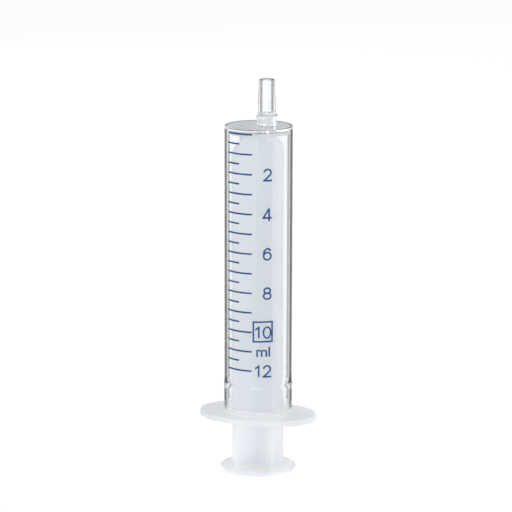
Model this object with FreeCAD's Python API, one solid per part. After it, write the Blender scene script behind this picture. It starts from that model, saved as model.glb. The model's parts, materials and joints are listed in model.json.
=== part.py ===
"""A two-part 10 ml (12 ml full scale) slip-tip dosing syringe, standing on its thumb rest with the tip up.

The barrel is one clear moulding: a thin-walled tube closed by a flat end wall, an off-centre slip tip
on a short neck with a collar, an oval finger flange, and a low stop bead near the open mouth.
The plunger is one translucent moulding: a sealing head, a rod of four crossed ribs and a round thumb rest.
The scale is printed on the outside of the barrel, and each printed item is a thin film of ink.

Millimetres. +Z points out of the tip, along the bore, X runs along the flange's long axis, and the scale
faces -Y. The origin is the centre of the thumb rest's underside. The plunger is fully pressed in.
"""

import FreeCAD
import Part
import math
import os

V = FreeCAD.Vector
UP = V(0, 0, 1)

# Bore and scale. One millilitre is a slice of the bore.
BORE_R = 7.95
WALL = 0.70
BARREL_R = BORE_R + WALL
ML_HEIGHT = 1000 / (math.pi * BORE_R**2)
FULL_SCALE_ML = 12

# Heights.
REST_THICKNESS = 2.0
FLANGE_Z = 14.65
FLANGE_THICKNESS = 1.75
BARREL_TOP_Z = 90.5
END_WALL = 0.80
BORE_END_Z = BARREL_TOP_Z - END_WALL
HEAD_GAP = 0.05
HEAD_TOP_Z = BORE_END_Z - HEAD_GAP

# Oval finger flange, made of four arcs.
FLANGE_HALF_LENGTH = 15.3
FLANGE_HALF_WIDTH = 9.15
FLANGE_END_R = 7.05
FLANGE_EDGE_R = 0.5
FLANGE_ROOT_R = 0.45
ROOT_OVERLAP = 0.2

# Barrel mouth and stop bead.
SKIRT_R = 8.75
MOUTH_R = 8.15
MOUTH_LIP_R = 8.40
MOUTH_LIP_DEPTH = 0.4
MOUTH_TOP_Z = 18.8
MOUTH_STEP = 0.3
BEAD_Z = 23.85
BEAD_HALF = 1.0
BEAD_OUTER_R = 8.80
BEAD_INNER_HALF = 2.2
BEAD_INNER_R = 7.85
END_EDGE_R = 0.25

# Slip tip: a 6 % taper on a neck with a collar, off the barrel's axis.
TIP_OFFSET = 2.1
TIP_END_Z = 102.3
TIP_END_R = 2.0
TAPER_ON_RADIUS = 0.03
TIP_EDGE_R = 0.55
TIP_BORE_R = 1.15
COLLAR_LOW_Z = 92.4
COLLAR_TOP_Z = 93.6
COLLAR_R = 2.75
COLLAR_EDGE_R = 0.45
COLLAR_SHOULDER = 0.15
COLLAR_RUNOUT = 0.2
NECK_R = 2.35

# Plunger.
RUNNING_CLEARANCE = 0.03
LIP_R = BORE_R - RUNNING_CLEARANCE
HEAD_THICKNESS = 1.00
HEAD_CHAMFER = 0.30
HEAD_BACK_RIM = 0.15
LIP_WIDTH = 0.25
LIP_DEPTH = 0.24
HEAD_BACK_R = 7.75
RIB_R = 7.50
RIB_THICKNESS = 1.20
RIB_NECK_R = 5.33
RIB_ANGLE = 48.7
RIB_NECK_Z = 86.9
RIB_FULL_Z = 83.1
ROD_CORE_R = 1.10
FUSE_OVERLAP = 0.4
REST_R = 9.93
REST_EDGE_R = 0.60
RECESS_R = 6.6
RECESS_DEPTH = 0.35

# Print. Angles are round the barrel from -Y, positive towards +X.
INK = 0.04
LINE_WIDTH = 0.41
LINES_LEFT = -44.5
LONG_RIGHT = 5.6
SHORT_RIGHT = -17.4
DIGIT_HEIGHT = 3.25
DIGIT_WIDTH = 2.30
STROKE = 0.42
DIGIT_ANGLE = 31.5
TENS_ANGLE = 14.5
DIGIT_DROP = 0.06
UNIT_M_ANGLE = 22.4
UNIT_L_ANGLE = 35.4
UNIT_ML = 11.06
FRAME_LEFT = 6.9
FRAME_RIGHT = 41.6
FRAME_HEIGHT = 5.5
FRAME_LIFT = 0.15

# Two ends closer than this are the same point.
TINY = 1e-6


def outline(first, *steps):
    """A closed face in the XZ plane from (radius, height) corners. A step is a corner, or a pair of points:
    one that an arc passes through, and the corner where it ends."""
    def at(p):
        return V(p[0], 0, p[1])

    edges = []
    here = first
    for step in steps + (first,):
        if isinstance(step[0], tuple):
            edges.append(Part.Arc(at(here), at(step[0]), at(step[1])).toShape())
            here = step[1]
        elif step != here:
            edges.append(Part.makeLine(at(here), at(step)))
            here = step
    return Part.Face(Part.Wire(edges))


def turned(face, x=0.0):
    """The solid made by turning a face right round the Z axis, moved along X."""
    solid = face.revolve(V(0, 0, 0), UP, 360)
    solid.translate(V(x, 0, 0))
    return solid


def round_corner(centre, radius, degrees):
    """The point of a circle in the XZ plane at an angle from +X towards +Z."""
    turn = math.radians(degrees)
    return (centre[0] + radius * math.cos(turn), centre[1] + radius * math.sin(turn))


# ---- barrel ---------------------------------------------------------------------------------------

def tube():
    """The wall and the end wall, with the stop bead and the wider mouth."""
    edge = (BARREL_R - END_EDGE_R, BARREL_TOP_Z - END_EDGE_R)
    corner = (BORE_R - END_EDGE_R, BORE_END_Z - END_EDGE_R)
    return turned(outline(
        (MOUTH_LIP_R, FLANGE_Z),
        (MOUTH_R, FLANGE_Z + MOUTH_LIP_DEPTH),
        (MOUTH_R, MOUTH_TOP_Z),
        (BORE_R, MOUTH_TOP_Z + MOUTH_STEP),
        (BORE_R, BEAD_Z - BEAD_INNER_HALF),
        ((BEAD_INNER_R, BEAD_Z), (BORE_R, BEAD_Z + BEAD_INNER_HALF)),
        (BORE_R, corner[1]),
        (round_corner(corner, END_EDGE_R, 45), (corner[0], BORE_END_Z)),
        (0, BORE_END_Z),
        (0, BARREL_TOP_Z),
        (edge[0], BARREL_TOP_Z),
        (round_corner(edge, END_EDGE_R, 45), (BARREL_R, edge[1])),
        (BARREL_R, BEAD_Z + BEAD_HALF),
        ((BEAD_OUTER_R, BEAD_Z), (SKIRT_R, BEAD_Z - BEAD_HALF)),
        (SKIRT_R, FLANGE_Z),
    ))


def flange_face(inset):
    """The flange's oval at its lower face, four arcs drawn inside its real outline by an inset."""
    half_length, half_width = FLANGE_HALF_LENGTH - inset, FLANGE_HALF_WIDTH - inset
    end_r = FLANGE_END_R - inset
    end_x = half_length - end_r
    rise = half_width - end_r
    side_y = (end_x**2 - rise**2) / (2 * rise)
    reach = end_r / (half_width + side_y - end_r)
    join_x, join_y = end_x * (1 + reach), side_y * reach

    def arc(start, middle, end):
        return Part.Arc(*(V(x, y, FLANGE_Z) for x, y in (start, middle, end))).toShape()

    corners = [(join_x, -join_y), (join_x, join_y), (-join_x, join_y), (-join_x, -join_y)]
    middles = [(half_length, 0), (0, half_width), (-half_length, 0), (0, -half_width)]
    return Part.Face(Part.Wire([arc(corners[i], middles[i], corners[(i + 1) % 4]) for i in range(4)]))


def flange():
    """An oval plate with rounded edges, open where the mouth passes through it."""
    plate = flange_face(0).extrude(UP * FLANGE_THICKNESS)
    rims = [e for e in plate.Edges if e.BoundBox.ZLength < TINY]
    plate = plate.makeFillet(FLANGE_EDGE_R, rims)
    below = V(0, 0, FLANGE_Z - FLANGE_THICKNESS)
    opening = Part.makeCylinder(SKIRT_R - ROOT_OVERLAP, 3 * FLANGE_THICKNESS, below)
    return plate.cut(opening)


def flange_root():
    """The fillet between the flange's upper face and the barrel, as far as that face reaches."""
    low = FLANGE_Z + FLANGE_THICKNESS
    centre = (SKIRT_R + FLANGE_ROOT_R, low + FLANGE_ROOT_R)
    root = turned(outline(
        (SKIRT_R - ROOT_OVERLAP, low - ROOT_OVERLAP),
        (centre[0], low - ROOT_OVERLAP),
        (centre[0], low),
        (round_corner(centre, FLANGE_ROOT_R, 225), (SKIRT_R, centre[1])),
        (SKIRT_R - ROOT_OVERLAP, centre[1]),
    ))
    return root.common(flange_face(FLANGE_EDGE_R).extrude(UP * (2 * FLANGE_THICKNESS)))


def tip():
    """Neck, collar and slip taper, turned about the tip's own axis."""
    base_r = TIP_END_R + TAPER_ON_RADIUS * (TIP_END_Z - COLLAR_TOP_Z)
    low = (COLLAR_R - COLLAR_EDGE_R, COLLAR_LOW_Z + COLLAR_EDGE_R)
    high = (COLLAR_R - COLLAR_EDGE_R, COLLAR_TOP_Z - COLLAR_SHOULDER - COLLAR_EDGE_R)
    edge = (TIP_END_R - TIP_EDGE_R, TIP_END_Z - TIP_EDGE_R)
    return turned(outline(
        (0, BARREL_TOP_Z - END_WALL / 2),
        (NECK_R, BARREL_TOP_Z - END_WALL / 2),
        (NECK_R, COLLAR_LOW_Z),
        (low[0], COLLAR_LOW_Z),
        (round_corner(low, COLLAR_EDGE_R, -45), (COLLAR_R, low[1])),
        (COLLAR_R, high[1]),
        (round_corner(high, COLLAR_EDGE_R, 30), round_corner(high, COLLAR_EDGE_R, 60)),
        (base_r, COLLAR_TOP_Z + COLLAR_RUNOUT),
        (TIP_END_R + TAPER_ON_RADIUS * TIP_EDGE_R, edge[1]),
        (round_corner(edge, TIP_EDGE_R, 48), (edge[0], TIP_END_Z)),
        (0, TIP_END_Z),
    ), TIP_OFFSET)


def barrel():
    length = TIP_END_Z - BORE_END_Z
    passage = Part.makeCylinder(TIP_BORE_R, length + 2, V(TIP_OFFSET, 0, BORE_END_Z - 1))
    whole = tube().fuse([flange(), flange_root(), tip()]).cut(passage)
    return whole.removeSplitter()


# ---- plunger --------------------------------------------------------------------------------------

def head():
    """A disc whose chamfered front edge carries the lip that seals on the bore."""
    low = HEAD_TOP_Z - HEAD_THICKNESS
    lip_top = HEAD_TOP_Z - HEAD_CHAMFER
    return turned(outline(
        (0, low),
        (HEAD_BACK_R, low),
        (HEAD_BACK_R, low + HEAD_BACK_RIM),
        (LIP_R, lip_top - LIP_WIDTH),
        (LIP_R, lip_top),
        (LIP_R - HEAD_CHAMFER, HEAD_TOP_Z),
        (0, HEAD_TOP_Z),
    ))


def rod():
    """Four ribs in a cross, narrowed to a neck under the head by rounded shoulders."""
    low = REST_THICKNESS - FUSE_OVERLAP
    top = HEAD_TOP_Z - HEAD_THICKNESS + FUSE_OVERLAP
    along = Part.makeBox(2 * RIB_R, RIB_THICKNESS, top - low, V(-RIB_R, -RIB_THICKNESS / 2, low))
    across = along.copy()
    across.rotate(V(0, 0, 0), UP, 90)
    core = Part.makeCylinder(ROD_CORE_R, top - low, V(0, 0, low))
    cross = along.fuse([across, core]).removeSplitter()
    run, rise = RIB_R - RIB_NECK_R, RIB_NECK_Z - RIB_FULL_Z
    shoulder_r = (run**2 + rise**2) / (2 * run)
    shoulder = (RIB_R - shoulder_r, RIB_FULL_Z)
    sweep = math.degrees(math.asin(rise / shoulder_r))
    envelope = turned(outline(
        (0, low),
        (RIB_R, low),
        (RIB_R, RIB_FULL_Z),
        (round_corner(shoulder, shoulder_r, sweep / 2), (RIB_NECK_R, RIB_NECK_Z)),
        (RIB_NECK_R, top),
        (0, top),
    ))
    cross = cross.common(envelope)
    cross.rotate(V(0, 0, 0), UP, RIB_ANGLE)
    return cross


def thumb_rest():
    """A round button with a shallow recess underneath, so that it stands on its rim."""
    low_edge = (REST_R - REST_EDGE_R, REST_EDGE_R)
    high_edge = (REST_R - REST_EDGE_R, REST_THICKNESS - REST_EDGE_R)
    return turned(outline(
        (0, RECESS_DEPTH),
        (RECESS_R - RECESS_DEPTH, RECESS_DEPTH),
        (RECESS_R, 0),
        (low_edge[0], 0),
        (round_corner(low_edge, REST_EDGE_R, -45), (REST_R, low_edge[1])),
        (REST_R, high_edge[1]),
        (round_corner(high_edge, REST_EDGE_R, 45), (high_edge[0], REST_THICKNESS)),
        (0, REST_THICKNESS),
    ))


def plunger():
    return head().fuse([rod(), thumb_rest()]).removeSplitter()


# ---- printed scale --------------------------------------------------------------------------------

def mark_z(ml):
    """The height of a mark: where the head's sealing lip stands with that much drawn in."""
    return HEAD_TOP_Z - LIP_DEPTH - ml * ML_HEIGHT


def band(left, right, low, high):
    """A rectangle of ink wrapped round the barrel, between two angles and two heights."""
    sweep = right - left
    outer = Part.makeCylinder(BARREL_R + INK, high - low, V(0, 0, low), UP, sweep)
    inner = Part.makeCylinder(BARREL_R, high - low, V(0, 0, low), UP, sweep)
    ring = outer.cut(inner)
    ring.rotate(V(0, 0, 0), UP, left - 90)
    return ring


def line(ml, right):
    z = mark_z(ml)
    return band(LINES_LEFT, right, z - LINE_WIDTH / 2, z + LINE_WIDTH / 2)


def capacity_frame():
    """The box round the nominal capacity."""
    low = mark_z(10) - FRAME_HEIGHT / 2 + FRAME_LIFT
    high = low + FRAME_HEIGHT
    inset = math.degrees(LINE_WIDTH / BARREL_R)
    outside = band(FRAME_LEFT, FRAME_RIGHT, low, high)
    inside = band(FRAME_LEFT + inset, FRAME_RIGHT - inset, low + LINE_WIDTH, high - LINE_WIDTH)
    return outside.cut(inside)


def straight_stroke(start, end, width=STROKE):
    """A flat bar between two points of the glyph plane."""
    dx, dz = end[0] - start[0], end[1] - start[1]
    length = math.hypot(dx, dz)
    nx, nz = -dz / length * width / 2, dx / length * width / 2
    corners = [
        V(start[0] + nx, 0, start[1] + nz),
        V(end[0] + nx, 0, end[1] + nz),
        V(end[0] - nx, 0, end[1] - nz),
        V(start[0] - nx, 0, start[1] - nz),
    ]
    return Part.Face(Part.makePolygon(corners + corners[:1]))


def round_stroke(centre, rx, rz, start=0.0, end=360.0, width=STROKE):
    """Part of an oval ring, whose middle line has half-sizes rx and rz, from one angle to another."""
    def arc(grow):
        across, high = rx + grow, rz + grow
        wide = across >= high
        long_axis = V(1, 0, 0) if wide else V(0, 0, 1)
        short_axis = V(0, 0, 1) if wide else V(-1, 0, 0)
        middle = V(centre[0], 0, centre[1])
        major, minor = max(across, high), min(across, high)
        if major - minor < TINY:
            minor = major * (1 - TINY)
        curve = Part.Ellipse(middle + long_axis * major, middle + short_axis * minor, middle)
        shift = 0 if wide else -90
        return curve, math.radians(start + shift), math.radians(end + shift)

    outer, inner = arc(width / 2), arc(-width / 2)
    if end - start >= 360:
        rings = [Part.Face(Part.Wire([c.toShape()])) for c, _, _ in (outer, inner)]
        return rings[0].cut(rings[1])
    far = Part.ArcOfEllipse(outer[0], outer[1], outer[2])
    near = Part.ArcOfEllipse(inner[0], inner[1], inner[2])
    return Part.Face(Part.Wire([
        far.toShape(),
        Part.makeLine(far.EndPoint, near.EndPoint),
        near.toShape().reversed(),
        Part.makeLine(near.StartPoint, far.StartPoint),
    ]))


# Glyphs are drawn round the middle of their own cell, in millimetres. The middle lines of the outermost
# strokes stand at these distances from it.
HALF_W = (DIGIT_WIDTH - STROKE) / 2
HALF_H = (DIGIT_HEIGHT - STROKE) / 2


def glyph_0():
    return [round_stroke((0, 0), HALF_W, HALF_H)]


def glyph_1():
    return [
        straight_stroke((0.45, -HALF_H), (0.45, DIGIT_HEIGHT / 2)),
        straight_stroke((0.50, HALF_H + 0.02), (-0.45, HALF_H - 0.72)),
    ]


def glyph_2():
    bowl = HALF_H - 0.85
    turn = math.radians(-38)
    leave = (HALF_W * 0.94 * math.cos(turn), bowl + 0.85 * math.sin(turn))
    return [
        round_stroke((0, bowl), HALF_W * 0.94, 0.85, -40, 172),
        straight_stroke(leave, (-HALF_W + 0.08, -HALF_H)),
        straight_stroke((-DIGIT_WIDTH / 2, -HALF_H), (DIGIT_WIDTH / 2, -HALF_H)),
    ]


def glyph_4():
    bar = -HALF_H + 0.62
    return [
        straight_stroke((0.42, -DIGIT_HEIGHT / 2), (0.42, DIGIT_HEIGHT / 2)),
        straight_stroke((0.36, HALF_H + 0.05), (-HALF_W - 0.12, bar + 0.05)),
        straight_stroke((-DIGIT_WIDTH / 2 - 0.09, bar), (DIGIT_WIDTH / 2, bar)),
    ]


def glyph_6():
    bowl = -HALF_H + 0.95
    return [
        round_stroke((0, bowl), HALF_W, 0.95),
        round_stroke((0.08, 0), HALF_W + 0.08, HALF_H, 38, 200),
    ]


def glyph_8():
    return [
        round_stroke((0, HALF_H - 0.68), HALF_W * 0.84, 0.68),
        round_stroke((0, -HALF_H + 0.78), HALF_W, 0.78),
    ]


def glyph_m():
    foot, arch, top = -0.92, 0.42, 0.92
    half = 0.58
    strokes = [straight_stroke((x, foot), (x, arch)) for x in (2 * half, 0)]
    strokes.append(straight_stroke((-2 * half, foot), (-2 * half, top)))
    strokes += [round_stroke((x, arch), half, top - arch - STROKE / 2, 0, 180) for x in (-half, half)]
    return strokes


def glyph_l():
    return [straight_stroke((0, -0.92), (0, 1.62))]


def printed(strokes, ml, angle):
    """A glyph's strokes as one film of ink on the barrel, its middle at a scale value and an angle."""
    middle = mark_z(ml) - DIGIT_DROP
    bars = []
    for face in strokes:
        bar = face.extrude(V(0, -2 * WALL, 0))
        bar.translate(V(0, -BORE_R, middle))
        bars.append(bar)
    solid = bars[0].fuse(bars[1:]) if len(bars) > 1 else bars[0]
    low = V(0, 0, middle - DIGIT_HEIGHT)
    shell = Part.makeCylinder(BARREL_R + INK, 2 * DIGIT_HEIGHT, low)
    shell = shell.cut(Part.makeCylinder(BARREL_R, 2 * DIGIT_HEIGHT, low))
    film = solid.common(shell).removeSplitter()
    film.rotate(V(0, 0, 0), UP, angle)
    return film


def print_nodes():
    """Every printed item by name."""
    single = {"2": glyph_2, "4": glyph_4, "6": glyph_6, "8": glyph_8}
    nodes = {
        "whole_ml_lines": Part.makeCompound([line(ml, LONG_RIGHT) for ml in range(FULL_SCALE_ML + 1)]),
        "half_ml_lines": Part.makeCompound([line(ml + 0.5, SHORT_RIGHT) for ml in range(FULL_SCALE_ML)]),
        "capacity_frame": capacity_frame(),
        "unit_ml": Part.makeCompound([
            printed(glyph_m(), UNIT_ML, UNIT_M_ANGLE),
            printed(glyph_l(), UNIT_ML, UNIT_L_ANGLE),
        ]),
    }
    for name, glyph in single.items():
        nodes["numeral_" + name] = printed(glyph(), int(name), DIGIT_ANGLE)
    for name, glyph in {"10": glyph_0, "12": glyph_2}.items():
        nodes["numeral_" + name] = Part.makeCompound([
            printed(glyph_1(), int(name), TENS_ANGLE),
            printed(glyph(), int(name), DIGIT_ANGLE),
        ])
    return nodes


def main():
    os.makedirs("parts", exist_ok=True)
    nodes = {"barrel": barrel(), "plunger": plunger(), **print_nodes()}
    for name, shape in nodes.items():
        sound = all(s.isValid() and s.isClosed() for s in shape.Solids)
        print(f"{name}: {len(shape.Solids)} solids, {shape.Volume:.3f} mm3, sound {sound}")
        shape.exportStep(f"parts/{name}.step")
    lip_low = HEAD_TOP_Z - HEAD_CHAMFER - LIP_WIDTH
    reach = BEAD_INNER_HALF * math.sqrt((LIP_R - BEAD_INNER_R) / (BORE_R - BEAD_INNER_R))
    travel = lip_low - (BEAD_Z + reach)
    print(f"one ml is {ML_HEIGHT:.4f} mm; the lip meets the bead after {travel:.2f} mm")


main()
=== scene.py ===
"""The looks of a two-part oral syringe on a white light table: clear barrel, milky plunger, blue print.

Metres in the scene, millimetres in the dimensions below. +Z points out of the tip and the scale faces -Y.
The barrel and the plunger are lofted here as closed meshes, and each replaces its CAD node.
The print keeps its CAD nodes and gets an ink material.
"""

import json
import math

import bpy
from mathutils import Euler, Matrix, Vector

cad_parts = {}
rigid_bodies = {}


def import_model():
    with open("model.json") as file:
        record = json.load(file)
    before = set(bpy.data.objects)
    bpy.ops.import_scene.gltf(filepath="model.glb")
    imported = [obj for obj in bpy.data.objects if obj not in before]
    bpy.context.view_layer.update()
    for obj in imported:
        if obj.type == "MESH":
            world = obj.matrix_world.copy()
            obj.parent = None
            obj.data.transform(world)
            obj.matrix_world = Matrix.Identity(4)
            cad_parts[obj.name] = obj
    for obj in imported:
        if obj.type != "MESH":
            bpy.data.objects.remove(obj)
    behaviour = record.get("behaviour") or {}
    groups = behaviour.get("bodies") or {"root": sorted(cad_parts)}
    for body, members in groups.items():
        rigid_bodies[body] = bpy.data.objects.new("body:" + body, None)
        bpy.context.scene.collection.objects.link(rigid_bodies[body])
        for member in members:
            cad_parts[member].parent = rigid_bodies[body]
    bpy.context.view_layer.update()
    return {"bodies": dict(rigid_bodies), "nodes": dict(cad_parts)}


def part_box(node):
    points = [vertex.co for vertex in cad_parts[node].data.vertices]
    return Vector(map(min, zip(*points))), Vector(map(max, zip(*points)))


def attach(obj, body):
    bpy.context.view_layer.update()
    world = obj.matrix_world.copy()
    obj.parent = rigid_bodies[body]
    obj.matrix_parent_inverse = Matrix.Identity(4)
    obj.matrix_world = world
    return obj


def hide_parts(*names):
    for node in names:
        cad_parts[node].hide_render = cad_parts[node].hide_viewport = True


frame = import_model()

MM = 0.001


def corners(node):
    """The low and the high corner of a CAD node's box, in mm."""
    return [[value / MM for value in corner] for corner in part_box(node)]


barrel_low, barrel_high = corners("barrel")
plunger_high = corners("plunger")[1]

# Barrel, from the frame.
FLANGE_Z = barrel_low[2]
TIP_END_Z = barrel_high[2]
FLANGE_HALF_LENGTH = barrel_high[0]
FLANGE_HALF_WIDTH = barrel_high[1]

# Barrel, as designed.
BORE_R = 7.95
BARREL_R = 8.65
BARREL_TOP_Z = 90.5
BORE_END_Z = 89.7
END_EDGE_R = 0.25
FLANGE_THICKNESS = 1.75
FLANGE_TOP_Z = FLANGE_Z + FLANGE_THICKNESS
FLANGE_END_R = 7.05
FLANGE_EDGE_R = 0.5
FLANGE_ROOT_R = 0.45
FLANGE_EDGE_SHARE = 0.60
FLANGE_ROOT_SHARE = 0.35
SKIRT_R = 8.75
MOUTH_R = 8.15
MOUTH_LIP_R = 8.40
MOUTH_TOP_Z = 18.8
MOUTH_STEP = 0.3
MOUTH_LIP_DEPTH = 0.4
BEAD_Z = 23.85
BEAD_HALF = 1.0
BEAD_INNER_HALF = 2.2
BEAD_INNER_R = 7.85
BEAD_OUTER_R = 8.80
TIP_OFFSET = 2.1
TIP_END_R = 2.0
TIP_EDGE_R = 0.55
TIP_MOUTH_R = 0.15
TIP_BORE_R = 1.15
TAPER_ON_RADIUS = 0.03
TAPER_TURN = 2
NECK_R = 2.35
NECK_ROOT_R = 0.3
COLLAR_R = 2.75
COLLAR_LOW_Z = 92.4
COLLAR_TOP_Z = 93.6
COLLAR_EDGE_R = 0.45
COLLAR_TURN = 60
COLLAR_SHOULDER = 0.15
COLLAR_RUNOUT = 0.2

# Plunger, from the frame.
REST_R = plunger_high[0]
HEAD_TOP_Z = plunger_high[2]

# Plunger, as designed.
REST_TOP_Z = 2.0
REST_EDGE_R = 0.60
RECESS_R = 6.6
RECESS_DEPTH = 0.35
RECESS_MIDDLE_R = 4.6
HEAD_THICKNESS = 1.0
HEAD_LOW_Z = HEAD_TOP_Z - HEAD_THICKNESS
HEAD_BACK_R = 7.75
HEAD_BACK_RIM = 0.15
HEAD_CHAMFER = 0.30
LIP_R = 7.92
LIP_WIDTH = 0.25
RIB_R = 7.50
RIB_HALF_THICKNESS = 0.60
RIB_NECK_R = 5.33
RIB_NECK_Z = 86.9
RIB_FULL_Z = 83.1
RIB_EDGE_R = 0.22
RIB_CORNER_R = 0.60
RIB_ROOT_R = 0.35
RIB_ANGLE = 48.7

# Camera: where it stands round the object, and what it looks at on the barrel's axis.
CAMERA_AZIMUTH = 16.5
CAMERA_ELEVATION = 12.2
CAMERA_DISTANCE = 638.0
CAMERA_AIM_Z = 56.9
CAMERA_AIM_SIDE = -0.6
CAMERA_ROLL = 0.127
CAMERA_LENS = 176.98
CAMERA_SENSOR = 36
CAMERA_CLIP = 10.0

# Table: its size, its glow, and the brighter spot in front of the object.
FLOOR_R = 4000.0
FLOOR_SIDES = 96
FLOOR_GLOW = 0.8
FLOOR_SPOT = (7, -24, 0)
FLOOR_SPOT_FADE = (10, 40)
FLOOR_SPOT_GLOW = 1.05

# Room and lamps: its light low down and overhead, as the object sees it, and what the lamps aim at.
WORLD_RISE = (0.15, 0.8)
WORLD_LOW_LIGHT = 0.70
WORLD_HIGH_LIGHT = 0.22
LAMP_AIM_Z = 50

# Meshes: sides of every ring, the steepest bend that is shaded smooth, and how far large faces set normals.
SEGMENTS = 128
OCTANT = SEGMENTS // 8
SMOOTH_ANGLE = 38
NORMAL_WEIGHT = 100


# ---- mesh building --------------------------------------------------------------------------------

def arc(centre, radius, start, end, steps=5):
    """(radius, height) points along a quarter round or any other arc, in degrees from outward towards up."""
    turns = [math.radians(start + (end - start) * i / steps) for i in range(steps + 1)]
    return [(centre[0] + radius * math.cos(a), centre[1] + radius * math.sin(a)) for a in turns]


def bulge(low, middle, high, steps=12):
    """Points along the arc through three (radius, height) points, the outer two at equal radius steps."""
    (x1, y1), (x2, y2), (x3, y3) = low, middle, high
    d = 2 * (x1 * (y2 - y3) + x2 * (y3 - y1) + x3 * (y1 - y2))
    s1, s2, s3 = x1 * x1 + y1 * y1, x2 * x2 + y2 * y2, x3 * x3 + y3 * y3
    cx = (s1 * (y2 - y3) + s2 * (y3 - y1) + s3 * (y1 - y2)) / d
    cy = (s1 * (x3 - x2) + s2 * (x1 - x3) + s3 * (x2 - x1)) / d
    radius = math.hypot(x1 - cx, y1 - cy)
    start = math.degrees(math.atan2(y1 - cy, x1 - cx))
    turn = math.degrees(math.atan2(y3 - cy, x3 - cx)) - start
    turn = (turn + 180) % 360 - 180
    return arc((cx, cy), radius, start, start + turn, steps)


def circle(radius, height, x=0.0, turn=0.0):
    """A ring of points round the Z axis, or round an axis moved along X."""
    angles = [math.tau * i / SEGMENTS + math.radians(turn) for i in range(SEGMENTS)]
    return [(x + radius * math.cos(a), radius * math.sin(a), height) for a in angles]


def lathe(profile, x=0.0, turn=0.0):
    """Rings for a list of (radius, height) points."""
    return [circle(r, z, x, turn) for r, z in profile]


def loft(name, rings, bottom=None, top=None):
    """A closed mesh through rings of equal count. Its ends meet each other, or close on a point each."""
    count = len(rings)
    verts = [point for ring in rings for point in ring]
    faces = []
    for i in range(count if bottom is None else count - 1):
        low, high = i * SEGMENTS, (i + 1) % count * SEGMENTS
        for j in range(SEGMENTS):
            k = (j + 1) % SEGMENTS
            faces.append((low + j, low + k, high + k, high + j))
    if bottom is not None:
        verts += [bottom, top]
        last = (count - 1) * SEGMENTS
        for j in range(SEGMENTS):
            k = (j + 1) % SEGMENTS
            faces.append((count * SEGMENTS, k, j))
            faces.append((count * SEGMENTS + 1, last + j, last + k))
    mesh = bpy.data.meshes.new(name)
    mesh.from_pydata([Vector(v) * MM for v in verts], [], faces)
    mesh.validate()
    mesh.shade_smooth()
    mesh.set_sharp_from_angle(angle=math.radians(SMOOTH_ANGLE))
    piece = bpy.data.objects.new(name, mesh)
    bpy.context.scene.collection.objects.link(piece)
    evened = piece.modifiers.new("even_normals", "WEIGHTED_NORMAL")
    evened.keep_sharp = True
    evened.weight = NORMAL_WEIGHT
    return piece


# ---- barrel ---------------------------------------------------------------------------------------

def flange_radius(angle):
    """How far the four-arc oval of the flange reaches from the axis, at an angle in radians."""
    end_x = FLANGE_HALF_LENGTH - FLANGE_END_R
    rise = FLANGE_HALF_WIDTH - FLANGE_END_R
    side_y = (end_x**2 - rise**2) / (2 * rise)
    side_r = FLANGE_HALF_WIDTH + side_y
    reach = FLANGE_END_R / (side_r - FLANGE_END_R)
    join = math.atan2(side_y * reach, end_x * (1 + reach))
    along, across = abs(math.cos(angle)), abs(math.sin(angle))
    if math.atan2(across, along) < join:
        return end_x * along + math.sqrt(FLANGE_END_R**2 - (end_x * across) ** 2)
    return math.sqrt(side_r**2 - (side_y * along) ** 2) - side_y * across


def flange_rings(steps=5):
    """Underside, rounded rim and upper face of the flange, up to the fillet at its root. Where the oval
    comes close to the barrel, the rim and the fillet are smaller."""
    angles = [math.tau * i / SEGMENTS for i in range(SEGMENTS)]
    profiles = []
    for angle in angles:
        reach = flange_radius(angle)
        gap = reach - SKIRT_R
        edge_r = min(FLANGE_EDGE_R, FLANGE_EDGE_SHARE * gap)
        root_r = min(FLANGE_ROOT_R, FLANGE_ROOT_SHARE * gap)
        profiles.append(
            arc((reach - edge_r, FLANGE_Z + edge_r), edge_r, -90, 0, steps)
            + arc((reach - edge_r, FLANGE_TOP_Z - edge_r), edge_r, 0, 90, steps)
            + arc((SKIRT_R + root_r, FLANGE_TOP_Z + root_r), root_r, -90, -180, steps)
        )
    return [
        [(p[i][0] * math.cos(a), p[i][0] * math.sin(a), p[i][1]) for p, a in zip(profiles, angles)]
        for i in range(len(profiles[0]))
    ]


def outer_wall():
    """From the flange's root over the stop bead to the end wall's rounded edge."""
    edge = (BARREL_R - END_EDGE_R, BARREL_TOP_Z - END_EDGE_R)
    bead = bulge((SKIRT_R, BEAD_Z - BEAD_HALF), (BEAD_OUTER_R, BEAD_Z), (BARREL_R, BEAD_Z + BEAD_HALF))
    return bead + arc(edge, END_EDGE_R, 0, 90)


def slip_tip():
    """Neck, collar and taper, round the rim and down the passage to the bore."""
    base_r = TIP_END_R + TAPER_ON_RADIUS * (TIP_END_Z - COLLAR_TOP_Z)
    neck_root = (NECK_R + NECK_ROOT_R, BARREL_TOP_Z + NECK_ROOT_R)
    collar_low = (COLLAR_R - COLLAR_EDGE_R, COLLAR_LOW_Z + COLLAR_EDGE_R)
    collar_high = (COLLAR_R - COLLAR_EDGE_R, COLLAR_TOP_Z - COLLAR_SHOULDER - COLLAR_EDGE_R)
    rim = (TIP_END_R - TIP_EDGE_R, TIP_END_Z - TIP_EDGE_R)
    mouth = (TIP_BORE_R + TIP_MOUTH_R, TIP_END_Z - TIP_MOUTH_R)
    return (
        arc(neck_root, NECK_ROOT_R, 270, 180)
        + [(NECK_R, COLLAR_LOW_Z)]
        + arc(collar_low, COLLAR_EDGE_R, -90, 0)
        + arc(collar_high, COLLAR_EDGE_R, 0, COLLAR_TURN)
        + [(base_r, COLLAR_TOP_Z + COLLAR_RUNOUT)]
        + arc(rim, TIP_EDGE_R, TAPER_TURN, 90, steps=8)
        + arc(mouth, TIP_MOUTH_R, 90, 180, steps=4)
        + [(TIP_BORE_R, BORE_END_Z)]
    )


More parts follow.
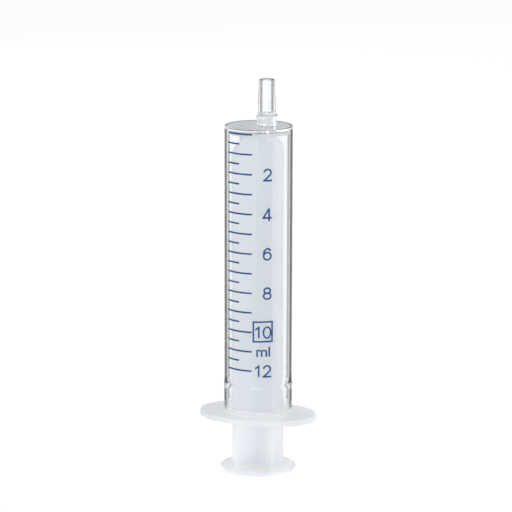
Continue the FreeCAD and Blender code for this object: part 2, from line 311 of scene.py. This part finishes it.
def inner_wall():
    """From the end wall's inner corner down the bore, over the bead inside, to the mouth's lip."""
    corner = (BORE_R - END_EDGE_R, BORE_END_Z - END_EDGE_R)
    bead_high = (BORE_R, BEAD_Z + BEAD_INNER_HALF)
    bead_low = (BORE_R, BEAD_Z - BEAD_INNER_HALF)
    mouth = [
        (BORE_R, MOUTH_TOP_Z + MOUTH_STEP),
        (MOUTH_R, MOUTH_TOP_Z),
        (MOUTH_R, FLANGE_Z + MOUTH_LIP_DEPTH),
        (MOUTH_LIP_R, FLANGE_Z),
    ]
    return arc(corner, END_EDGE_R, 90, 0) + bulge(bead_high, (BEAD_INNER_R, BEAD_Z), bead_low) + mouth


def barrel():
    rings = flange_rings() + lathe(outer_wall()) + lathe(slip_tip(), TIP_OFFSET) + lathe(inner_wall())
    return loft("barrel_moulding", rings)


# ---- plunger --------------------------------------------------------------------------------------

def cross_ring(rib_r, height, grow=0.0):
    """The outline of four crossed ribs with rounded edges and corners, pushed outward by a growth."""
    half = RIB_HALF_THICKNESS + grow
    hollow = RIB_HALF_THICKNESS + RIB_CORNER_R
    corner_r = RIB_CORNER_R - grow
    reach = rib_r + grow
    edge_x = math.sqrt((reach - RIB_EDGE_R) ** 2 - (half - RIB_EDGE_R) ** 2)
    edge_turn = math.degrees(math.asin((half - RIB_EDGE_R) / (reach - RIB_EDGE_R)))
    tip_steps, edge_steps, side_steps = 2, 4, 4
    corner_steps = OCTANT - tip_steps - edge_steps - side_steps
    side = [(edge_x + (hollow - edge_x) * i / side_steps, half) for i in range(1, side_steps)]
    octant = (
        arc((0, 0), reach, 0, edge_turn, tip_steps)
        + arc((edge_x, half - RIB_EDGE_R), RIB_EDGE_R, edge_turn, 90, edge_steps)[1:]
        + side
        + arc((hollow, hollow), corner_r, 270, 225, corner_steps)
    )
    quarter = octant[:-1] + [(y, x) for x, y in reversed(octant)][:-1]
    ring = []
    for i in range(4):
        turn = Matrix.Rotation(math.radians(RIB_ANGLE + 90 * i), 2)
        ring += [(*(turn @ Vector(point)), height) for point in quarter]
    return ring


def rod_rings():
    """Rings up the rod: the fillets at both ends, and the shoulders where the ribs narrow under the head."""
    run, rise = RIB_R - RIB_NECK_R, RIB_NECK_Z - RIB_FULL_Z
    shoulder_r = (run**2 + rise**2) / (2 * run)
    sweep = math.degrees(math.asin(rise / shoulder_r))
    shoulder = arc((RIB_R - shoulder_r, RIB_FULL_Z), shoulder_r, 0, sweep, steps=10)
    low_fillet = arc((RIB_ROOT_R, REST_TOP_Z + RIB_ROOT_R), RIB_ROOT_R, 270, 180)
    high_fillet = arc((RIB_ROOT_R, HEAD_LOW_Z - RIB_ROOT_R), RIB_ROOT_R, 180, 90)
    return (
        [cross_ring(RIB_R, height, grow) for grow, height in low_fillet]
        + [cross_ring(radius, height) for radius, height in shoulder]
        + [cross_ring(RIB_NECK_R, height, grow) for grow, height in high_fillet]
    )


def plunger():
    """From the recess under the thumb rest, round its rim, up the rod and over the lip to the head's top."""
    low_edge = (REST_R - REST_EDGE_R, REST_EDGE_R)
    high_edge = (REST_R - REST_EDGE_R, REST_TOP_Z - REST_EDGE_R)
    recess = [(RECESS_MIDDLE_R, RECESS_DEPTH), (RECESS_R - RECESS_DEPTH, RECESS_DEPTH), (RECESS_R, 0)]
    rim = arc(low_edge, REST_EDGE_R, -90, 0, steps=6) + arc(high_edge, REST_EDGE_R, 0, 90, steps=6)
    lip_top = HEAD_TOP_Z - HEAD_CHAMFER
    head = [
        (HEAD_BACK_R, HEAD_LOW_Z),
        (HEAD_BACK_R, HEAD_LOW_Z + HEAD_BACK_RIM),
        (LIP_R, lip_top - LIP_WIDTH),
        (LIP_R, lip_top),
        (LIP_R - HEAD_CHAMFER, HEAD_TOP_Z),
    ]
    rings = lathe(recess + rim, turn=RIB_ANGLE) + rod_rings() + lathe(head, turn=RIB_ANGLE)
    return loft("plunger_moulding", rings, (0, 0, RECESS_DEPTH), (0, 0, HEAD_TOP_Z))


# ---- materials ------------------------------------------------------------------------------------

# Refraction of the two plastics and the ink.
CLEAR_IOR = 1.49
MILKY_IOR = 1.5
INK_IOR = 1.5

# How hazy the clear plastic is, from 0 to 1, and over which heights that changes.
FLANGE_HAZE_FADE = (0.6, 2.4)
END_HAZE = 0.18
END_HAZE_DEPTH = 0.3
END_EDGE_HAZE = 3.0
END_EDGE_BAND = (0.6, 0.2)
NECK_HAZE = 0.27
NECK_HAZE_RISE = 0.4
TIP_HAZE_SHARE = 0.12
TIP_HAZE_FADE = (-0.1, 0.4)

# The painted shade of the dark lines along the clear wall: which Facing values they cover, and how dark they
# are.
TRAPPED_FACING = (0.262, 0.277)
TRAPPED_PAINTED_SHADE = 0.62
RIM_FACING = (0.56, 0.64)
RIM_END_FACING = (0.76, 0.88)
RIM_PAINTED_SHADE = 0.65
UPRIGHT_SLOPE = (0.3, 0.7)
LINES_TOP_FADE = (-0.9, -0.3)
TIP_LINES_RISE = 0.5
TIP_LINES_SHARE = 1.1
BEAD_LINES_SHARE = 0.5
BEAD_LINES_FADE = (0.7, 1.3)

# How much of the milky plastic's light passes straight through it, in the thumb rest and in the ribs.
REST_GLOW = 0.15
RIB_GLOW = 0.45
RIB_GLOW_RISE = 1.0

# The noise range over which a colour wanders from its first tone to its second.
NOISE_RANGE = (0.3, 0.7)

# The Mix node's sockets for colours.
MIX_FIRST = 6
MIX_SECOND = 7
MIX_RESULT = 2


class Shader:
    """A material's node tree, with short ways to add nodes and links."""

    def __init__(self, name):
        self.material = bpy.data.materials.new(name)
        self.material.use_nodes = True
        self.tree = self.material.node_tree
        self.tree.nodes.clear()

    def node(self, kind, **settings):
        made = self.tree.nodes.new("ShaderNode" + kind)
        for key, value in settings.items():
            setattr(made, key, value)
        return made

    def put(self, socket, value):
        """Links a socket to another node's output, or sets it."""
        if isinstance(value, bpy.types.NodeSocket):
            self.tree.links.new(value, socket)
        else:
            socket.default_value = value

    def fill(self, node, *in_order, **by_name):
        """Fills a node's inputs, the first ones in their order and any others by name, with _ for a space."""
        for socket, value in zip(node.inputs, in_order):
            self.put(socket, value)
        for name, value in by_name.items():
            self.put(node.inputs[name.replace("_", " ")], value)
        return node

    def place(self):
        return self.node("TexCoord").outputs["Object"]

    def upward(self, vector):
        """The Z part of a vector."""
        return self.fill(self.node("SeparateXYZ"), vector).outputs["Z"]

    def noise(self, scale, detail=2.0, stretch=(1, 1, 1)):
        """A noise value in the object's own space, scale in blobs per metre."""
        spread = self.fill(self.node("Mapping"), Vector=self.place(), Scale=stretch)
        made = self.fill(self.node("TexNoise"), Vector=spread.outputs[0], Scale=scale, Detail=detail)
        return made.outputs["Fac"]

    def between(self, value, low, high, start, end):
        """A value moved from one range to another, held at its ends."""
        made = self.node("MapRange", interpolation_type="SMOOTHSTEP")
        self.fill(made, Value=value, From_Min=low, From_Max=high, To_Min=start, To_Max=end)
        return made.outputs[0]

    def along(self, height, base, fade, start, end):
        """A value that changes over a range of heights, given in mm from a base in mm."""
        return self.between(height, (base + fade[0]) * MM, (base + fade[1]) * MM, start, end)

    def maths(self, operation, first, second=0.0):
        made = self.node("Math", operation=operation)
        return self.fill(made, first, second).outputs[0]

    def multiply(self, first, second):
        return self.maths("MULTIPLY", first, second)

    def maximum(self, first, second):
        return self.maths("MAXIMUM", first, second)

    def tones(self, noise, first, second):
        """A colour that wanders between two as a noise does."""
        made = self.node("Mix", data_type="RGBA")
        self.fill(made, self.between(noise, *NOISE_RANGE, 0.0, 1.0))
        self.put(made.inputs[MIX_FIRST], first)
        self.put(made.inputs[MIX_SECOND], second)
        return made.outputs[MIX_RESULT]

    def bump(self, height, distance, strength=1.0):
        made = self.fill(self.node("Bump"), Height=height, Distance=distance, Strength=strength)
        return made.outputs[0]

    def mix(self, factor, first, second):
        return self.fill(self.node("MixShader"), factor, first, second).outputs[0]

    def finish(self, surface):
        out = self.node("OutputMaterial")
        self.tree.links.new(surface, out.inputs["Surface"])
        return self.material


def clear_haze(s, place, height):
    """Full on the flange, light on the end wall and a little more at its edge and on the neck and collar.
    The barrel's wall has none."""
    flat = s.fill(s.node("VectorMath", operation="MULTIPLY"), place, (1, 1, 0)).outputs[0]
    reach = s.fill(s.node("VectorMath", operation="LENGTH"), flat).outputs["Value"]
    flange = s.along(height, FLANGE_TOP_Z, FLANGE_HAZE_FADE, 1.0, 0.0)
    end = s.along(height, BARREL_TOP_Z, (-END_HAZE_DEPTH, 0), 0.0, END_HAZE)
    inner, outer = ((BARREL_R - depth) * MM for depth in END_EDGE_BAND)
    edge = s.between(reach, inner, outer, 1.0, END_EDGE_HAZE)
    neck = s.along(height, BARREL_TOP_Z, (0, NECK_HAZE_RISE), 0.0, NECK_HAZE)
    tip = s.along(height, COLLAR_TOP_Z, TIP_HAZE_FADE, 1.0, TIP_HAZE_SHARE)
    closed_end = s.maths("ADD", s.multiply(end, edge), neck)
    return s.maximum(flange, s.multiply(closed_end, tip))


def painted_line_shade(s, height):
    """Painted shade: how dark the lines along the outlines of the wall and the tip are, set from the angle
    between the surface and the ray. The inner one stands in for rays inside the plastic that are caught in
    it, and the outer one for rays that just graze it."""
    facing = s.fill(s.node("LayerWeight"), Blend=0.5).outputs["Facing"]
    surface = s.node("NewGeometry").outputs
    inside = surface["Backfacing"]
    outside = s.between(inside, 0, 1, 1.0, 0.0)
    slope = s.maths("ABSOLUTE", s.upward(surface["True Normal"]))
    standing = s.between(slope, *UPRIGHT_SLOPE, 1.0, 0.0)
    # Painted shade: these lines are laid on by the Facing value, not made by the refraction under the lamps.
    trapped_painted_shade = s.multiply(s.between(facing, *TRAPPED_FACING, 0.0, TRAPPED_PAINTED_SHADE), inside)
    rim_start = s.between(facing, *RIM_FACING, 0.0, RIM_PAINTED_SHADE)
    rim = s.multiply(rim_start, s.between(facing, *RIM_END_FACING, 1.0, 0.0))

    on_wall = s.along(height, BARREL_TOP_Z, LINES_TOP_FADE, 1.0, 0.0)
    on_tip = s.along(height, COLLAR_TOP_Z, (0, TIP_LINES_RISE), 0.0, TIP_LINES_SHARE)
    off_bead = s.maths("ABSOLUTE", s.maths("SUBTRACT", height, BEAD_Z * MM))
    bead_start, bead_end = (share * BEAD_HALF * MM for share in BEAD_LINES_FADE)
    clear_of_bead = s.between(off_bead, bead_start, bead_end, BEAD_LINES_SHARE, 1.0)
    straight = s.multiply(s.multiply(standing, clear_of_bead), s.maximum(on_wall, on_tip))
    return s.multiply(s.maximum(trapped_painted_shade, s.multiply(rim, outside)), straight)


def polished(s, height):
    """The plastic of the wall and the tip: water-clear, faintly wavy, with painted shade as dark lines along
    its outlines.
    """
    waves = s.bump(s.noise(90, 1.0, (1, 1, 0.35)), 0.00002)
    clear = s.node("BsdfPrincipled")
    s.fill(clear, Base_Color=(0.925, 0.938, 0.957, 1), Roughness=0.03, IOR=CLEAR_IOR, Normal=waves)
    s.fill(clear, Transmission_Weight=1.0)
    # Painted shade: a near-black transparent mixed in along the outlines of the wall and the tip.
    dark = s.fill(s.node("BsdfTransparent"), Color=(0.06, 0.07, 0.07, 1)).outputs[0]
    return s.mix(painted_line_shade(s, height), clear.outputs[0], dark)


def frosted(s):
    """The plastic of the flange: half of it refracts roughly, half of it scatters light or passes it on."""
    grain = s.bump(s.noise(2500, 3.0), 0.00003, 0.6)
    rough = s.node("BsdfPrincipled")
    s.fill(rough, Base_Color=(0.965, 0.975, 0.98, 1), Roughness=0.3, IOR=CLEAR_IOR, Normal=grain)
    s.fill(rough, Transmission_Weight=0.8)
    cream = (0.965, 0.975, 0.985, 1)
    passed = s.fill(s.node("BsdfTranslucent"), Color=cream, Normal=grain).outputs[0]
    turned = s.fill(s.node("BsdfDiffuse"), Color=cream, Normal=grain).outputs[0]
    return s.mix(0.5, rough.outputs[0], s.mix(0.35, passed, turned))


def clear_plastic():
    """Clear polypropylene: polished along the barrel and the tip, hazy on the flange, the end wall, the neck
    and the collar. Along the outlines of the wall it carries painted shade: dark lines set from the angle
    between the surface and the ray. They stand in for light caught inside the wall by total reflection, which
    ends up beside the lit table, and for the rim just outside it. Shadow and diffuse rays pass it, less where
    it is hazy."""
    s = Shader("clear_plastic")
    place = s.place()
    height = s.upward(place)
    haze = clear_haze(s, place, height)
    plastic = s.mix(haze, polished(s, height), frosted(s))
    path = s.node("LightPath")
    passing = s.maximum(path.outputs["Is Shadow Ray"], path.outputs["Is Diffuse Ray"])
    open_way = s.multiply(passing, s.between(haze, 0, 1, 1.0, 0.5))
    through = s.fill(s.node("BsdfTransparent"), Color=(0.95, 0.96, 0.96, 1)).outputs[0]
    return s.finish(s.mix(open_way, plastic, through))


def milky_plastic():
    """Translucent natural polyethylene: satin, bluish white, and light passes through its thin ribs."""
    s = Shader("milky_plastic")
    cloud = s.noise(160, 2.0, (1, 1, 0.25))
    tint = s.tones(cloud, (0.890, 0.905, 0.935, 1), (0.915, 0.928, 0.955, 1))
    satin = s.bump(s.noise(6000, 2.0), 0.000004, 0.5)
    body = s.node("BsdfPrincipled", subsurface_method="RANDOM_WALK")
    s.fill(body, Base_Color=tint, Roughness=0.32, IOR=MILKY_IOR, Normal=satin, Transmission_Weight=0.15)
    s.fill(body, Subsurface_Weight=1.0, Subsurface_Radius=(1.0, 1.0, 1.0), Subsurface_Scale=0.003)
    glow = s.fill(s.node("BsdfTranslucent"), Color=(0.91, 0.925, 0.95, 1), Normal=satin).outputs[0]
    thin = s.along(s.upward(s.place()), REST_TOP_Z, (0, RIB_GLOW_RISE), REST_GLOW, RIB_GLOW)
    return s.finish(s.mix(thin, body.outputs[0], glow))


def blue_ink():
    """Printing ink: blue, satin, a little uneven in density."""
    s = Shader("blue_ink")
    tint = s.tones(s.noise(900, 3.0), (0.007, 0.050, 0.17, 1), (0.016, 0.085, 0.25, 1))
    grain = s.bump(s.noise(4000, 2.0), 0.000005, 0.5)
    film = s.node("BsdfPrincipled")
    s.fill(film, Base_Color=tint, Roughness=0.4, IOR=INK_IOR, Specular_IOR_Level=0.2, Normal=grain)
    return s.finish(film.outputs[0])


def floor_white():
    """A white table that glows as a light table does, a little more in a spot in front of the object."""
    s = Shader("floor_white")
    spot = [value * MM for value in FLOOR_SPOT]
    reach = s.fill(s.node("VectorMath", operation="DISTANCE"), s.place(), spot).outputs["Value"]
    inner, outer = (radius * MM for radius in FLOOR_SPOT_FADE)
    glow = s.between(reach, inner, outer, FLOOR_SPOT_GLOW, FLOOR_GLOW)
    body = s.node("BsdfPrincipled")
    s.fill(body, Base_Color=(0.4, 0.4, 0.4, 1), Roughness=0.8)
    s.fill(body, Emission_Color=(1, 1, 1, 1), Emission_Strength=glow)
    return s.finish(body.outputs[0])


# ---- object ---------------------------------------------------------------------------------------

def place_object():
    barrel_piece = barrel()
    barrel_piece.data.materials.append(clear_plastic())
    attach(barrel_piece, "barrel")
    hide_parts("barrel")

    plunger_piece = plunger()
    plunger_piece.data.materials.append(milky_plastic())
    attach(plunger_piece, "plunger")
    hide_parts("plunger")

    ink = blue_ink()
    for name, node in frame["nodes"].items():
        if name not in ("barrel", "plunger"):
            for slot in node.material_slots:
                slot.material = ink


# ---- studio ---------------------------------------------------------------------------------------

def place_floor():
    """The table goes with the plunger, so the syringe stands on its thumb rest in every pose."""
    bpy.ops.mesh.primitive_circle_add(vertices=FLOOR_SIDES, radius=FLOOR_R * MM, fill_type="NGON")
    floor = bpy.context.object
    floor.name = "floor"
    floor.data.materials.append(floor_white())
    floor.parent = frame["bodies"]["plunger"]


def around(azimuth, elevation, distance, aim):
    """Place and turn for a camera or a lamp, seen round the object from -Y towards +X, in degrees and mm."""
    turn = Euler((math.radians(90 - elevation), 0, math.radians(azimuth))).to_matrix()
    return Vector(aim) * MM + turn @ Vector((0, 0, distance * MM)), turn


def softbox(name, azimuth, elevation, distance, size, watts):
    lamp = bpy.data.lights.new(name, "AREA")
    lamp.shape = "RECTANGLE"
    lamp.size, lamp.size_y = (side * MM for side in size)
    lamp.energy = watts
    holder = bpy.data.objects.new(name, lamp)
    place, turn = around(azimuth, elevation, distance, (0, 0, LAMP_AIM_Z))
    holder.matrix_world = Matrix.LocRotScale(place, turn, None)
    holder.visible_camera = False
    bpy.context.scene.collection.objects.link(holder)


def studio_world():
    """A white room as the camera sees it. The object sees it light grey low down and darker overhead."""
    world = bpy.data.worlds.new("white_studio")
    world.use_nodes = True
    nodes, links = world.node_tree.nodes, world.node_tree.links
    height = nodes.new("ShaderNodeSeparateXYZ")
    links.new(nodes.new("ShaderNodeTexCoord").outputs["Generated"], height.inputs[0])
    shade = nodes.new("ShaderNodeMapRange")
    shade.inputs["From Min"].default_value, shade.inputs["From Max"].default_value = WORLD_RISE
    shade.inputs["To Min"].default_value = WORLD_LOW_LIGHT
    shade.inputs["To Max"].default_value = WORLD_HIGH_LIGHT
    links.new(height.outputs["Z"], shade.inputs["Value"])
    seen = nodes.new("ShaderNodeMath")
    seen.operation = "MAXIMUM"
    links.new(shade.outputs[0], seen.inputs[0])
    links.new(nodes.new("ShaderNodeLightPath").outputs["Is Camera Ray"], seen.inputs[1])
    links.new(seen.outputs[0], nodes["Background"].inputs["Strength"])
    nodes["Background"].inputs["Color"].default_value = (1, 1, 1, 1)
    return world


def place_lights():
    bpy.context.scene.world = studio_world()
    softbox("key_light", azimuth=95, elevation=20, distance=700, size=(400, 500), watts=1.1)
    softbox("fill_light", azimuth=12, elevation=10, distance=900, size=(700, 500), watts=3.0)
    softbox("back_light", azimuth=-128, elevation=12, distance=800, size=(400, 500), watts=2.2)


def place_camera():
    lens = bpy.data.cameras.new("camera")
    lens.lens = CAMERA_LENS
    lens.sensor_width = CAMERA_SENSOR
    lens.clip_start = CAMERA_CLIP * MM
    camera = bpy.data.objects.new("camera", lens)
    side = math.radians(CAMERA_AZIMUTH)
    aim = (CAMERA_AIM_SIDE * math.cos(side), CAMERA_AIM_SIDE * math.sin(side), CAMERA_AIM_Z)
    place, turn = around(CAMERA_AZIMUTH, CAMERA_ELEVATION, CAMERA_DISTANCE, aim)
    roll = Matrix.Rotation(math.radians(CAMERA_ROLL), 3, "Z")
    camera.matrix_world = Matrix.LocRotScale(place, turn @ roll, None)
    bpy.context.scene.collection.objects.link(camera)
    bpy.context.scene.camera = camera


place_object()
place_floor()
place_lights()
place_camera()
bpy.context.scene.view_settings.view_transform = "Standard"
